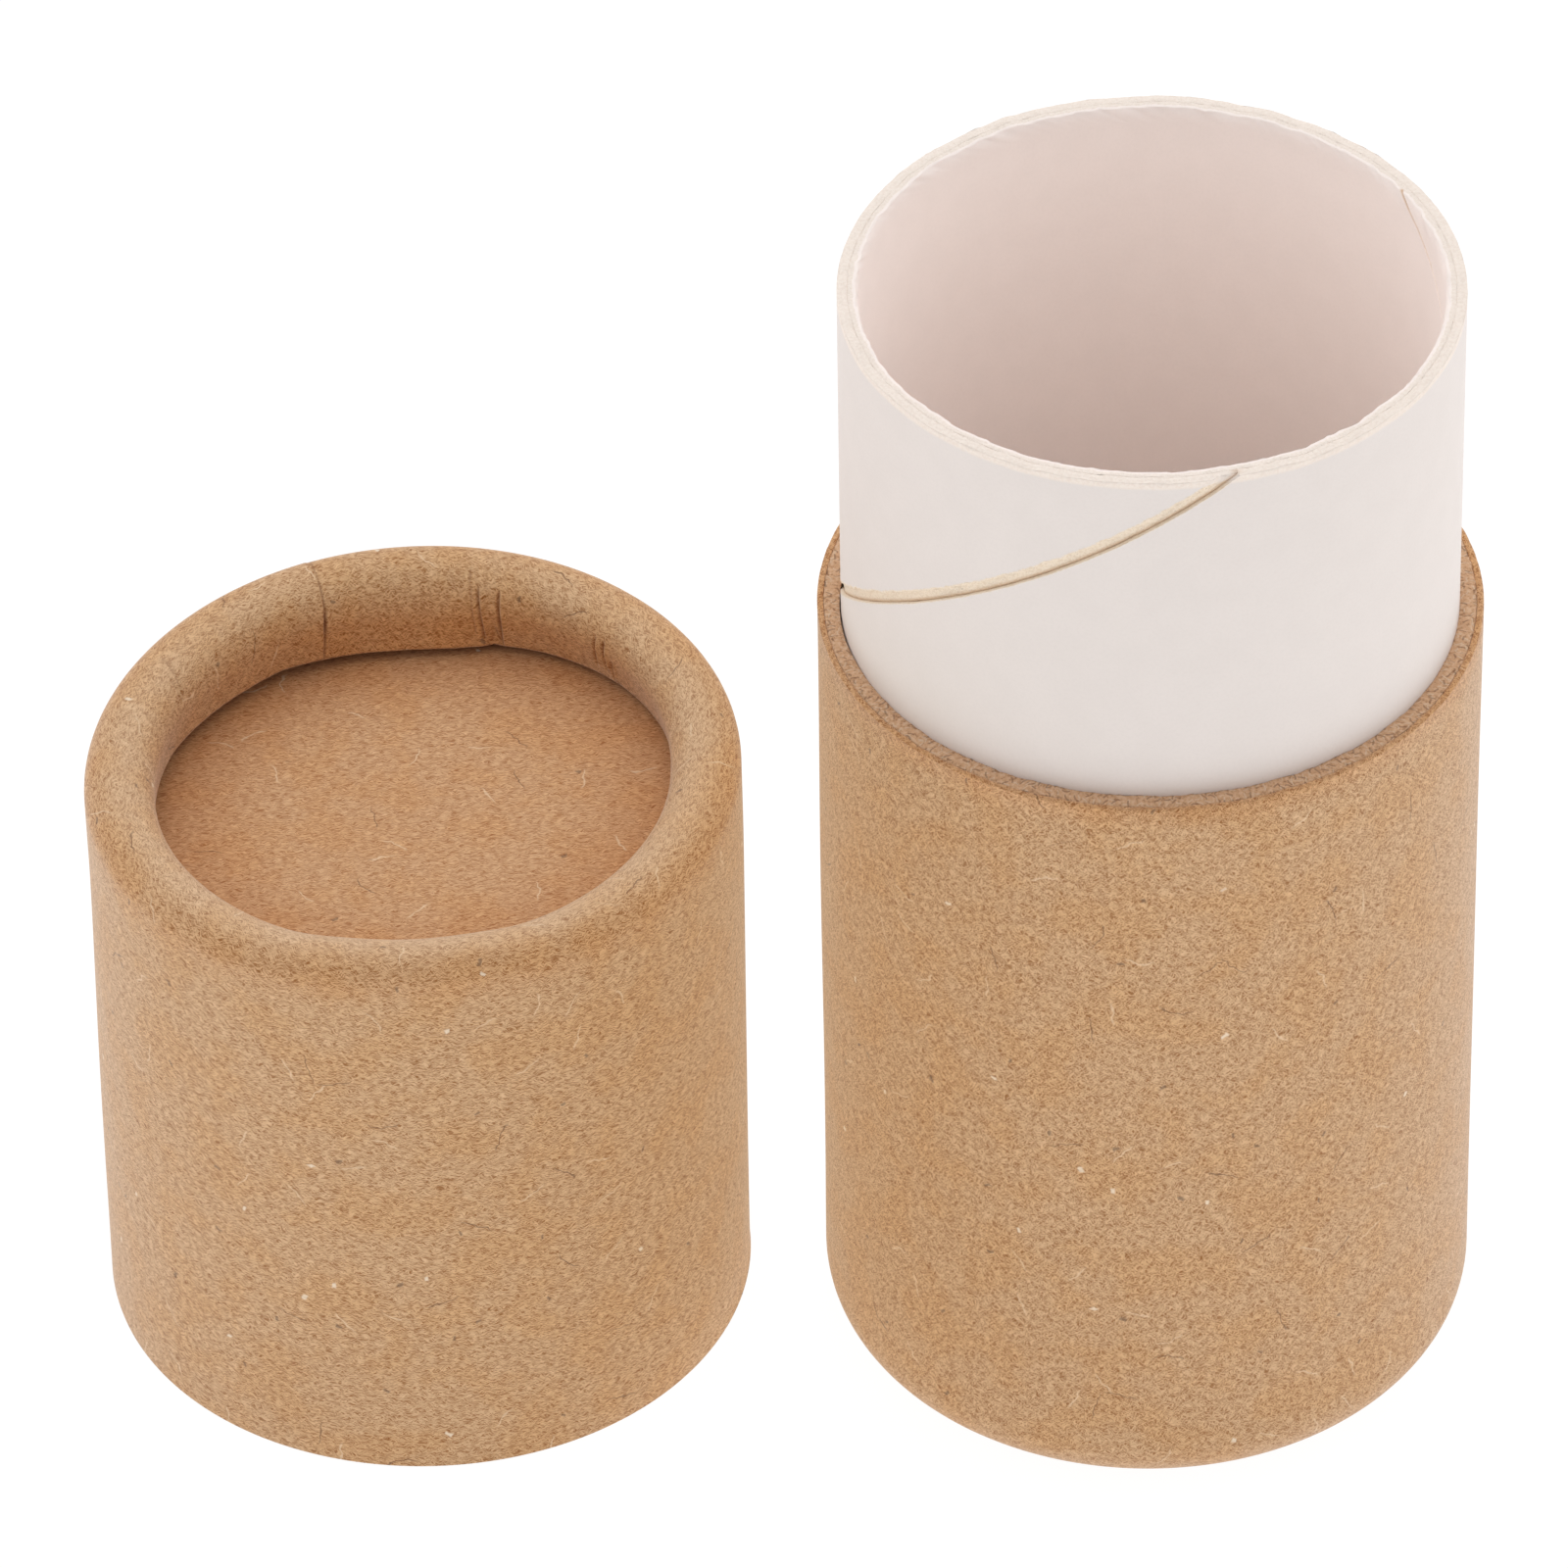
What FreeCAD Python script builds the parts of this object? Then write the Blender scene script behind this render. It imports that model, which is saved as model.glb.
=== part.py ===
import FreeCAD, Part
import Sketcher
import os

# A round gift box of rolled paper, shown with its lid taken off and stood beside it.
# The base and the lid are cut from one tube stock: a kraft facing glued on a board tube.
# One end of each is curled inwards, and a flat disc is pushed in against the curl's tail.
# A white neck of two spiral-wound plies stands on the base's disc and guides the lid.
# The origin is on the base's axis at the floor, +Z up, with the lid on the -X side.

# Driving sizes in millimetres, and angles in degrees.
SIZES = {
    "tube_radius": 22.5,
    "facing": 0.45,
    "board": 1.0,
    "glue_line": 0.05,
    "crest_land": 0.35,
    "base_shoulder_void": 3.0,
    "base_tail_void": 0.4,
    "base_seat_rise": 0.4,
    "lid_shoulder_void": 0.3,
    "lid_tail_void": 1.2,
    "lid_seat_rise": 3.1,
    "base_height": 62.0,
    "lid_height": 45.8,
    "disc_thickness": 1.5,
    "disc_fit": 0.1,
    "neck_fit": 0.1,
    "neck_ply": 0.7,
    "neck_reach": 26.5,
    "seam_gap": 1.0,
    "seam_pitch": 88.5,
    "seam_rim_angle": -80.0,
    "lid_gap": 5.4,
    "lid_setback": 4.25,
    "overrun": 1.0,
}

doc = FreeCAD.newDocument("gift_tube_box")
sheet = doc.addObject("Spreadsheet::Sheet", "sizes")
for row, (alias, number) in enumerate(SIZES.items(), start=1):
    sheet.set(f"A{row}", alias)
    sheet.set(f"B{row}", str(number))
    sheet.setAlias(f"B{row}", alias)
doc.recompute()


class Size:
    """A size worked out from the sheet: its number now, and the formula that keeps it tied to the cells."""

    def __init__(self, number, formula):
        self.number = number
        self.formula = formula

    def __add__(self, other):
        return Size(self.number + other.number, f"({self.formula} + {other.formula})")

    def __sub__(self, other):
        return Size(self.number - other.number, f"({self.formula} - {other.formula})")

    def __truediv__(self, other):
        return Size(self.number / other.number, f"({self.formula} / {other.formula})")


def size(alias):
    return Size(float(sheet.get(alias)), f"sizes.{alias}")


NOTHING = Size(0.0, "0")
FULL_TURN = Size(360.0, "360")

# One wall, from the outside in: facing, paste, board.
facing_depth = size("facing")
board_depth = size("facing") + size("glue_line")
wall = board_depth + size("board")


class Curl:
    """A rolled-in end, with the outer radii of its shoulder and its tail and its width and depth.

    The radii follow from the hollows that the wall is rolled round. The tail's cut end, where the disc sits,
    lies inside by the shoulder's radius and the seat's rise past it.
    """

    def __init__(self, shoulder_void, tail_void, seat_rise):
        self.shoulder = size(shoulder_void) + wall
        self.tail = size(tail_void) + wall
        self.width = self.shoulder + size("crest_land") + self.tail
        self.depth = self.shoulder + size(seat_rise)


# The base's foot is rolled over a full, round shoulder. The lid's top has a tighter one and a fuller tail.
base_curl = Curl("base_shoulder_void", "base_tail_void", "base_seat_rise")
lid_curl = Curl("lid_shoulder_void", "lid_tail_void", "lid_seat_rise")

# The neck fits inside the base's board tube, and its plies are pasted one inside the other.
neck_radius = size("tube_radius") - wall - size("neck_fit")
neck_foot = base_curl.depth + size("disc_thickness")
neck_length = size("base_height") + size("neck_reach") - neck_foot
inner_ply_radius = neck_radius - size("neck_ply") - size("glue_line")


def new_body(label):
    body = doc.addObject("PartDesign::Body", label)
    body.Label = label
    return body


def origin_part(body, role):
    return next(feature for feature in body.Origin.OriginFeatures if feature.Role == role)


def new_sketch(body, name, plane):
    sketch = body.newObject("Sketcher::SketchObject", name)
    sketch.AttachmentSupport = [(origin_part(body, plane), "")]
    sketch.MapMode = "FlatFace"
    return sketch


def drive(sketch, name, kind, *places, by):
    """Adds a dimension to a sketch and ties it to the sheet."""
    index = sketch.addConstraint(Sketcher.Constraint(kind, *places, by.number))
    sketch.renameConstraint(index, name)
    sketch.setExpression(f"Constraints.{name}", by.formula)


def point(across, up):
    return FreeCAD.Vector(across.number, up.number, 0)


def line(start, end):
    return Part.LineSegment(start, end)


def quarter_arc(across, up, radius, first, last):
    """A quarter circle about a centre, from one angle to the next one in degrees, anticlockwise."""
    circle = Part.Circle(point(across, up), FreeCAD.Vector(0, 0, 1), radius.number)
    to_radians = FreeCAD.Units.parseQuantity("1 deg").getValueAs("rad").Value
    return Part.ArcOfCircle(circle, first * to_radians, last * to_radians)


def curled_ply(label, near, far, height, curl):
    """One ply of a curled tube, turned about the axis from the section of its sheet.

    The ply lies between two depths, near and far, under the tube's outer face. From the mouth it runs
    straight down, rolls in over a shoulder to the crest, and turns up into a straight tail that ends in a
    cut edge under the disc. The crest stands at zero height and the mouth at the tube's full height.
    """
    body = new_body(label)
    sketch = new_sketch(body, f"{label}_section", "XZ_Plane")
    shoulder_across = size("tube_radius") - curl.shoulder
    tail_across = shoulder_across - size("crest_land")
    lip_across = size("tube_radius") - curl.width
    wall_near = size("tube_radius") - near
    wall_far = size("tube_radius") - far
    tail_near = lip_across + near
    tail_far = lip_across + far

    sketch.addGeometry([
        line(point(wall_near, height), point(wall_near, curl.shoulder)),
        quarter_arc(shoulder_across, curl.shoulder, curl.shoulder - near, 270, 360),
        line(point(shoulder_across, near), point(tail_across, near)),
        quarter_arc(tail_across, curl.tail, curl.tail - near, 180, 270),
        line(point(tail_near, curl.tail), point(tail_near, curl.depth)),
        line(point(tail_near, curl.depth), point(tail_far, curl.depth)),
        line(point(tail_far, curl.depth), point(tail_far, curl.tail)),
        quarter_arc(tail_across, curl.tail, curl.tail - far, 180, 270),
        line(point(tail_across, far), point(shoulder_across, far)),
        quarter_arc(shoulder_across, curl.shoulder, curl.shoulder - far, 270, 360),
        line(point(wall_far, curl.shoulder), point(wall_far, height)),
        line(point(wall_far, height), point(wall_near, height)),
    ], False)

    for smooth in ((0, 2, 1, 2), (1, 1, 2, 1), (2, 2, 3, 2), (3, 1, 4, 1),
                   (6, 2, 7, 1), (7, 2, 8, 1), (8, 2, 9, 1), (9, 2, 10, 1)):
        sketch.addConstraint(Sketcher.Constraint("Tangent", *smooth))
    for corner in ((4, 2, 5, 1), (5, 2, 6, 1), (10, 2, 11, 1), (11, 2, 0, 1)):
        sketch.addConstraint(Sketcher.Constraint("Coincident", *corner))
    for upright in (0, 4, 6, 10):
        sketch.addConstraint(Sketcher.Constraint("Vertical", upright))
    for level in (2, 5, 8, 11):
        sketch.addConstraint(Sketcher.Constraint("Horizontal", level))

    drive(sketch, "wall_radius", "DistanceX", -1, 1, 0, 1, by=wall_near)
    drive(sketch, "mouth_height", "DistanceY", -1, 1, 0, 1, by=height)
    drive(sketch, "mouth_thickness", "DistanceX", 10, 2, 0, 1, by=far - near)
    drive(sketch, "shoulder_near", "Radius", 1, by=curl.shoulder - near)
    drive(sketch, "shoulder_far", "Radius", 9, by=curl.shoulder - far)
    drive(sketch, "land", "DistanceX", 2, 2, 2, 1, by=size("crest_land"))
    drive(sketch, "tail_near", "Radius", 3, by=curl.tail - near)
    drive(sketch, "tail_far", "Radius", 7, by=curl.tail - far)
    drive(sketch, "tail_height", "DistanceY", -1, 1, 5, 1, by=curl.depth)
    drive(sketch, "tail_thickness", "DistanceX", 5, 1, 5, 2, by=far - near)
    drive(sketch, "crest_far", "DistanceY", -1, 1, 8, 1, by=far)
    if near is NOTHING:
        sketch.addConstraint(Sketcher.Constraint("PointOnObject", 2, 1, -1))
    else:
        drive(sketch, "crest_near", "DistanceY", -1, 1, 2, 1, by=near)

    turned = body.newObject("PartDesign::Revolution", f"{label}_turned")
    turned.Profile = sketch
    turned.ReferenceAxis = (sketch, ["V_Axis"])
    turned.Angle = FULL_TURN.number
    return body


def pressed_disc(label, curl):
    """A die-cut board disc that lies on the curl's tail, just smaller than the tube's inside."""
    body = new_body(label)
    sketch = new_sketch(body, f"{label}_outline", "XY_Plane")
    sketch.setExpression("AttachmentOffset.Base.z", curl.depth.formula)
    radius = size("tube_radius") - wall - size("disc_fit")
    sketch.addGeometry(Part.Circle(point(NOTHING, NOTHING), FreeCAD.Vector(0, 0, 1), radius.number), False)
    sketch.addConstraint(Sketcher.Constraint("Coincident", 0, 3, -1, 1))
    drive(sketch, "disc_radius", "Radius", 0, by=radius)
    pad = body.newObject("PartDesign::Pad", f"{label}_board")
    pad.Profile = sketch
    pad.setExpression("Length", size("disc_thickness").formula)
    return body


def neck_tube(label, radius):
    """One ply of the neck as a plain tube that stands on the base's disc."""
    body = new_body(label)
    sketch = new_sketch(body, f"{label}_ring", "XY_Plane")
    sketch.setExpression("AttachmentOffset.Base.z", neck_foot.formula)
    for index, (name, ring) in enumerate((("outside", radius), ("inside", radius - size("neck_ply")))):
        sketch.addGeometry(Part.Circle(point(NOTHING, NOTHING), FreeCAD.Vector(0, 0, 1), ring.number), False)
        sketch.addConstraint(Sketcher.Constraint("Coincident", index, 3, -1, 1))
        drive(sketch, name, "Radius", index, by=ring)
    pad = body.newObject("PartDesign::Pad", f"{label}_tube")
    pad.Profile = sketch
    pad.setExpression("Length", neck_length.formula)
    return body


def cut_spiral_gap(body, radius):
    """Cuts the open seam between the edges of a spiral-wound strip, from below its foot to past its rim."""
    label = body.Label
    sketch = new_sketch(body, f"{label}_gap_section", "XZ_Plane")
    inside = radius - size("neck_ply") - size("overrun")
    outside = radius + size("overrun")
    bottom = neck_foot - size("overrun") - size("seam_gap")
    top = neck_foot - size("overrun")
    corners = [point(inside, bottom), point(outside, bottom), point(outside, top), point(inside, top)]
    for index, corner in enumerate(corners):
        sketch.addGeometry(line(corner, corners[(index + 1) % len(corners)]), False)
    for index in range(len(corners)):
        sketch.addConstraint(Sketcher.Constraint("Coincident", index, 2, (index + 1) % len(corners), 1))
    for level in (0, 2):
        sketch.addConstraint(Sketcher.Constraint("Horizontal", level))
    for upright in (1, 3):
        sketch.addConstraint(Sketcher.Constraint("Vertical", upright))
    drive(sketch, "inside", "DistanceX", -1, 1, 0, 1, by=inside)
    drive(sketch, "bottom", "DistanceY", -1, 1, 0, 1, by=bottom)
    drive(sketch, "depth", "DistanceX", 0, 1, 0, 2, by=outside - inside)
    drive(sketch, "gap", "DistanceY", 1, 1, 1, 2, by=size("seam_gap"))

    climb = neck_length + size("overrun") + size("overrun") + size("seam_gap")
    gap = body.newObject("PartDesign::SubtractiveHelix", f"{label}_gap")
    gap.Profile = sketch
    gap.ReferenceAxis = (origin_part(body, "Z_Axis"), [""])
    gap.Mode = "pitch-height-angle"
    gap.setExpression("Pitch", size("seam_pitch").formula)
    gap.setExpression("Height", climb.formula)

    # The seam starts at angle zero under the foot, and the ply is turned until it meets the rim in its place.
    rim_turns = (neck_length + size("overrun")) / size("seam_pitch")
    rim_angle = size("seam_rim_angle").formula
    turn = f"({rim_angle} - {FULL_TURN.formula} * {rim_turns.formula})"
    body.Placement.Rotation.Axis = FreeCAD.Vector(0, 0, 1)
    body.setExpression("Placement.Rotation.Angle", f"{turn} * 1 deg")


def turn_over_as_lid(body):
    """Stands a tube on its mouth at the lid's place, a gap away from the base, with its curl at the top."""
    lid_across = NOTHING - size("tube_radius") - size("lid_gap") - size("tube_radius")
    body.Placement.Rotation = FreeCAD.Rotation(FreeCAD.Vector(1, 0, 0), FULL_TURN.number / 2)
    body.setExpression("Placement.Base.x", lid_across.formula)
    body.setExpression("Placement.Base.y", size("lid_setback").formula)
    body.setExpression("Placement.Base.z", size("lid_height").formula)


base_wrap = curled_ply("base_wrap", NOTHING, facing_depth, size("base_height"), base_curl)
base_core = curled_ply("base_core", board_depth, wall, size("base_height"), base_curl)
base_disc = pressed_disc("base_disc", base_curl)

neck_inner_ply = neck_tube("neck_inner_ply", inner_ply_radius)
neck_outer_ply = neck_tube("neck_outer_ply", neck_radius)
doc.recompute()
closed_ply_volume = neck_outer_ply.Shape.Volume
cut_spiral_gap(neck_outer_ply, neck_radius)

lid_wrap = curled_ply("lid_wrap", NOTHING, facing_depth, size("lid_height"), lid_curl)
lid_core = curled_ply("lid_core", board_depth, wall, size("lid_height"), lid_curl)
lid_disc = pressed_disc("lid_disc", lid_curl)
for lid_piece in (lid_wrap, lid_core, lid_disc):
    turn_over_as_lid(lid_piece)

doc.recompute()

for item in doc.Objects:
    if "Invalid" in item.State or "Error" in item.State:
        raise RuntimeError(f"{item.Label} failed to build: {item.State}")
if not neck_outer_ply.Shape.Volume < closed_ply_volume:
    raise RuntimeError("the neck's outer ply has no open seam")

os.makedirs("parts", exist_ok=True)
pieces = (base_wrap, base_core, base_disc, neck_inner_ply, neck_outer_ply, lid_wrap, lid_core, lid_disc)
for piece in pieces:
    shape = piece.Shape
    if shape.isNull() or not shape.isValid() or len(shape.Solids) != 1:
        raise RuntimeError(f"{piece.Label} is not one sound solid")
for piece in pieces:
    box = piece.Shape.BoundBox
    print(f"{piece.Label}: {piece.Shape.Volume:.1f} mm3, x {box.XMin:.2f} to {box.XMax:.2f}, "
          f"y {box.YMin:.2f} to {box.YMax:.2f}, z {box.ZMin:.2f} to {box.ZMax:.2f}")
    piece.Shape.exportStep(f"parts/{piece.Label}.step")
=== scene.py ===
import math
import bpy
import numpy as np
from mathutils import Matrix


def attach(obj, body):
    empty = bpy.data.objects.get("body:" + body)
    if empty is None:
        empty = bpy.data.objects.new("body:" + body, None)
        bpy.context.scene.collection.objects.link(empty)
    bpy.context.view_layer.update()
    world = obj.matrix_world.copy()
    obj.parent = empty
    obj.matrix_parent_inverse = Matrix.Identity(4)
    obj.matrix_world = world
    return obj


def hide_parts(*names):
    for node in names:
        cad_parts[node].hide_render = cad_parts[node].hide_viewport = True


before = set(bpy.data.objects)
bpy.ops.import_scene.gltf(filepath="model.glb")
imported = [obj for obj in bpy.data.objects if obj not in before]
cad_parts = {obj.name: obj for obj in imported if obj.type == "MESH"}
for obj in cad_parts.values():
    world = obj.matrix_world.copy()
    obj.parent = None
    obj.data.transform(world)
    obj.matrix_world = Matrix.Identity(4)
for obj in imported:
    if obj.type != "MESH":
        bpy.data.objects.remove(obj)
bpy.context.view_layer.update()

# The base's facing is a sheet of brown kraft paper, wrapped round the board tube and pasted with a lap at
# the back. It is rolled inwards with the board at the foot, and its raw edge shows as a thin line at the
# mouth. Lengths here are in millimetres and angles in radians, unless a comment says otherwise.

MM = 0.001
TURN = 2 * math.pi
TUBE_RADIUS = 22.5
LAND = 0.35
FACING = 0.45
BASE_HEIGHT = 62.0
BASE_CURL = {"shoulder": 4.5, "tail": 1.9, "depth": 4.9, "height": BASE_HEIGHT}
BASE_AXIS = (0.0, 0.0)
BASE_LAP = math.radians(118)
LAP_STEP = 0.07
LAP_TAPER = 9.0
CUT_ROUND = 0.14
CLOSE_STEP = 0.14
LAST_STEP = 0.004
WAVES = 12
RAGGED_WAVES = 60
SWELL = 0.05
SWELL_START = 6.0
SWELL_CRESTS = 5
SWELL_LENGTH = 30.0
BAKE_MARGIN = 0.002


def ramp(value, start, end):
    """Rises evenly from 0 where the value is at the start to 1 where it is at the end; level outside."""
    return np.clip((value - start) / (end - start), 0, 1)


def bell(value, width):
    """A bell curve: e to the power of minus the square of the value over the width."""
    return np.exp(-(value / width) ** 2)


def apart(angle, middle):
    """The signed angle from a middle one, from minus to plus half a turn."""
    return (np.asarray(angle) - middle + math.pi) % TURN - math.pi


def ply_path(depth, curl, steps):
    """The line of a ply at a depth under the tube's face, from the curl's cut end to the mouth.

    It goes down the tail, round a quarter circle of the tail's radius less the depth, along the land of the
    crest, round a quarter circle of the shoulder's radius less the depth, and up the wall. Both cut ends stop
    short by their rounding. Gives the distances from the axis and the heights; steps are those of the tail,
    the tail's arc, the land, the shoulder's arc and the wall.
    """
    tail, tail_arc, land, shoulder_arc, wall = steps
    outer = curl["shoulder"]
    inner = curl["tail"]
    shoulder_at = TUBE_RADIUS - outer
    tail_at = shoulder_at - LAND
    inwards = np.linspace(math.pi, 1.5 * math.pi, tail_arc, endpoint=False)
    outwards = np.linspace(1.5 * math.pi, TURN, shoulder_arc, endpoint=False)
    across = np.concatenate([
        np.full(tail, tail_at - inner + depth),
        tail_at + (inner - depth) * np.cos(inwards),
        np.linspace(tail_at, shoulder_at, land, endpoint=False),
        shoulder_at + (outer - depth) * np.cos(outwards),
        np.full(wall, TUBE_RADIUS - depth),
    ])
    up = np.concatenate([
        np.linspace(curl["depth"] - CUT_ROUND, inner, tail, endpoint=False),
        inner + (inner - depth) * np.sin(inwards),
        np.full(land, depth),
        outer + (outer - depth) * np.sin(outwards),
        np.linspace(outer, curl["height"] - CUT_ROUND, wall),
    ])
    return across, up


def cut_edge(start, end, steps, rounding=CUT_ROUND):
    """A cut edge from one face to the other, bulging upwards by its rounding.

    Its line is half of a squared-off ellipse: the sideways share is the root of the cosine, and the rise is
    the rounding times the root of the sine, over a half turn. Both ends themselves are left out.
    """
    swing = np.linspace(0, math.pi, steps + 2)[1:-1]
    sideways = np.sign(np.cos(swing)) * np.sqrt(np.abs(np.cos(swing)))
    across = (start[0] + end[0]) / 2 + sideways * (start[0] - end[0]) / 2
    up = (start[1] + end[1]) / 2 + rounding * np.sqrt(np.sin(swing))
    return across, up


def ply_section(near, far, curl_steps, mouth_steps):
    """A ply's closed outline: up its near face, over the mouth's cut, down its far face, over the curl's cut.

    Gives the distance from the axis, the height and, for each point, 1 on a cut edge and 0 on a face.
    """
    near_across, near_up = near
    far_across, far_up = far
    near_end = (near_across[-1], near_up[-1])
    far_end = (far_across[-1], far_up[-1])
    mouth_across, mouth_up = cut_edge(near_end, far_end, mouth_steps)
    curl_across, curl_up = cut_edge((far_across[0], far_up[0]), (near_across[0], near_up[0]), curl_steps)
    across = np.concatenate([near_across, mouth_across, far_across[::-1], curl_across])
    up = np.concatenate([near_up, mouth_up, far_up[::-1], curl_up])
    cut = np.concatenate([
        np.zeros(len(near_across)),
        np.ones(mouth_steps),
        np.zeros(len(far_across)),
        np.ones(curl_steps),
    ])
    return across, up, cut


def angles_round(start, count, bands=()):
    """Angles for one turn from a start, evenly spaced, with close steps added in bands given in degrees.

    The last angle stops just short of the turn, so that a step in the paper there is steep.
    """
    close = [np.radians(np.arange(low, high, CLOSE_STEP)) for low, high in bands]
    turn = np.concatenate([np.arange(count) * TURN / count] + [(angle - start) % TURN for angle in close])
    last = TURN - LAST_STEP
    return start + np.unique(np.round(np.append(turn[turn < last], last), 5))


def ripple(angle, along, most_turns, shortest, seed):
    """Gentle unevenness of about -1 to 1: a sum of waves with whole numbers of crests round the tube.

    Each wave has its own slant, no shorter than a given length along the tube, and a random phase.
    """
    draw = np.random.default_rng(seed)
    crests = draw.integers(1, most_turns + 1, WAVES)
    slants = draw.uniform(-1, 1, WAVES) * TURN / shortest
    phases = draw.uniform(0, TURN, WAVES)
    waves = [np.cos(n * angle + k * along + p) for n, k, p in zip(crests, slants, phases)]
    return sum(waves) / 4


def ragged(angle, fewest, most, seed):
    """The uneven line of a torn or sawn edge, about -1 to 1: many waves round the tube, finer ones weaker."""
    draw = np.random.default_rng(seed)
    crests = np.unique(np.geomspace(fewest, most, RAGGED_WAVES).astype(int))
    weights = crests ** -0.35 * draw.uniform(0.4, 1.6, len(crests))
    phases = draw.uniform(0, TURN, len(crests))
    waves = np.cos(np.asarray(angle)[..., None] * crests + phases)
    return waves @ weights / np.sqrt((weights ** 2).sum()) / 1.4


def lap_swell(angle, lap):
    """How far the paper stands out past its lap: a step that fades away round the tube."""
    return LAP_STEP * np.exp(-(angle - lap)[:, None] * TUBE_RADIUS / LAP_TAPER)


def wall_swell(angle, up, curl, seed):
    """The gentle unevenness of a tube's wall, which starts above the curl's shoulder."""
    on_wall = ramp(up, curl["shoulder"], curl["shoulder"] + SWELL_START)
    return on_wall * SWELL * ripple(angle[:, None], up, SWELL_CRESTS, SWELL_LENGTH, seed)


def fill_mesh(name, points, faces, sheet, bake, **marks):
    """A piece from points, four-cornered faces, and each corner's place on the flat sheet.

    The sheet map is in millimetres, for the fibres, and the bake map is the same sheet in a unit square.
    Marks are numbers kept at each point. A face whose last two corners are one point becomes a triangle.
    """
    mesh = bpy.data.meshes.new(name)
    three = faces[:, 2] == faces[:, 3]
    keep = np.ones(faces.shape, bool)
    keep[three, 3] = False
    sizes = keep.sum(1)
    mesh.vertices.add(len(points))
    mesh.vertices.foreach_set("co", (points * MM).astype(np.float32).ravel())
    mesh.loops.add(int(sizes.sum()))
    mesh.loops.foreach_set("vertex_index", faces[keep].astype(np.int32))
    mesh.polygons.add(len(faces))
    mesh.polygons.foreach_set("loop_start", np.concatenate([[0], np.cumsum(sizes)[:-1]]).astype(np.int32))
    mesh.update(calc_edges=True)
    for map_name, corners in (("sheet", sheet), ("OFBake", bake)):
        layer = mesh.uv_layers.new(name=map_name)
        layer.uv.foreach_set("vector", corners[keep].astype(np.float32).ravel())
    for mark_name, values in marks.items():
        kept_mark = mesh.attributes.new(mark_name, "FLOAT", "POINT")
        kept_mark.data.foreach_set("value", np.asarray(values, np.float32).ravel())
    mesh.shade_smooth()
    piece = bpy.data.objects.new(name, mesh)
    bpy.context.scene.collection.objects.link(piece)
    return piece


def running_length(across, up):
    """Distance along a closed outline at each of its points, and once more round to the first one."""
    steps = np.hypot(np.diff(across, append=across[0]), np.diff(up, append=up[0]))
    return np.concatenate([[0], np.cumsum(steps)])


def tube_piece(name, axis, angle, across, up, along, turned_over=0.0, **marks):
    """A closed outline carried once round an axis, as a grid that is closed both ways.

    A point is the axis plus its distance across in the direction of its angle, at its height; a height to
    turn over about stands the tube on its mouth. Rows of the grid are angles, and columns are places on the
    outline. A mark that is given for one row is the same all round.
    """
    rounds, places = across.shape
    lean = np.broadcast_to(angle[:, None] if angle.ndim == 1 else angle, across.shape)
    height = turned_over - up if turned_over else up
    points = np.stack([axis[0] + across * np.cos(lean), axis[1] + across * np.sin(lean), height], -1)
    i, j = np.meshgrid(np.arange(rounds), np.arange(places), indexing="ij")
    ring = [(i, j), (i + 1, j), (i + 1, j + 1), (i, j + 1)]
    if turned_over:
        ring = ring[::-1]
    faces = np.stack([(a % rounds) * places + b % places for a, b in ring], -1).reshape(-1, 4)
    turn = np.concatenate([lean, lean[:1] + TURN]) - lean[0, 0]
    sheet = [np.stack([turn[a, b % places] * TUBE_RADIUS, along[b]], -1) for a, b in ring]
    unit = [np.stack([turn[a, 0] / TURN, along[b] / along[-1]], -1) for a, b in ring]
    sheet = np.stack(sheet, 2).reshape(-1, 4, 2)
    unit = np.stack(unit, 2).reshape(-1, 4, 2) * (1 - 2 * BAKE_MARGIN) + BAKE_MARGIN
    marks = {mark_name: np.broadcast_to(values, across.shape) for mark_name, values in marks.items()}
    return fill_mesh(name, points.reshape(-1, 3), faces, sheet, unit, **marks)


class Ink:
    """One socket of a material. Arithmetic on it adds Math nodes, and its node method adds any other node."""

    def __init__(self, tree, socket=None):
        self.tree = tree
        self.socket = socket

    def node(self, kind, settings=None, inputs=None, output=0):
        made = self.tree.nodes.new(kind)
        for name, value in (settings or {}).items():
            setattr(made, name, value)
        for key, value in (inputs or {}).items():
            if isinstance(value, Ink):
                self.tree.links.new(value.socket, made.inputs[key])
            else:
                made.inputs[key].default_value = value
        return Ink(self.tree, made.outputs[output])

    def other(self, output):
        return Ink(self.tree, self.socket.node.outputs[output])

    def sum_of(self, operation, first, second=0.0):
        return self.node("ShaderNodeMath", {"operation": operation}, {0: first, 1: second})

    def __add__(self, value):
        return self.sum_of("ADD", self, value)

    def __sub__(self, value):
        return self.sum_of("SUBTRACT", self, value)

    def __mul__(self, value):
        return self.sum_of("MULTIPLY", self, value)

    def __rsub__(self, value):
        return self.sum_of("SUBTRACT", value, self)

    __radd__ = __add__
    __rmul__ = __mul__

    def __abs__(self):
        return self.sum_of("ABSOLUTE", self)

    def above(self, low, high):
        """Rises smoothly from 0 at the low value to 1 at the high one."""
        return self.node("ShaderNodeMapRange", {"interpolation_type": "SMOOTHSTEP"},
                         {"Value": self, "From Min": low, "From Max": high, "To Min": 0.0, "To Max": 1.0})

    def over(self, colour, under, blend="MIX"):
        """Lays a colour over another one, by this value, or tints the other one with it."""
        return self.node("ShaderNodeMix", {"data_type": "RGBA", "blend_type": blend},
                         {0: self, 6: under, 7: colour}, 2)


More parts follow.
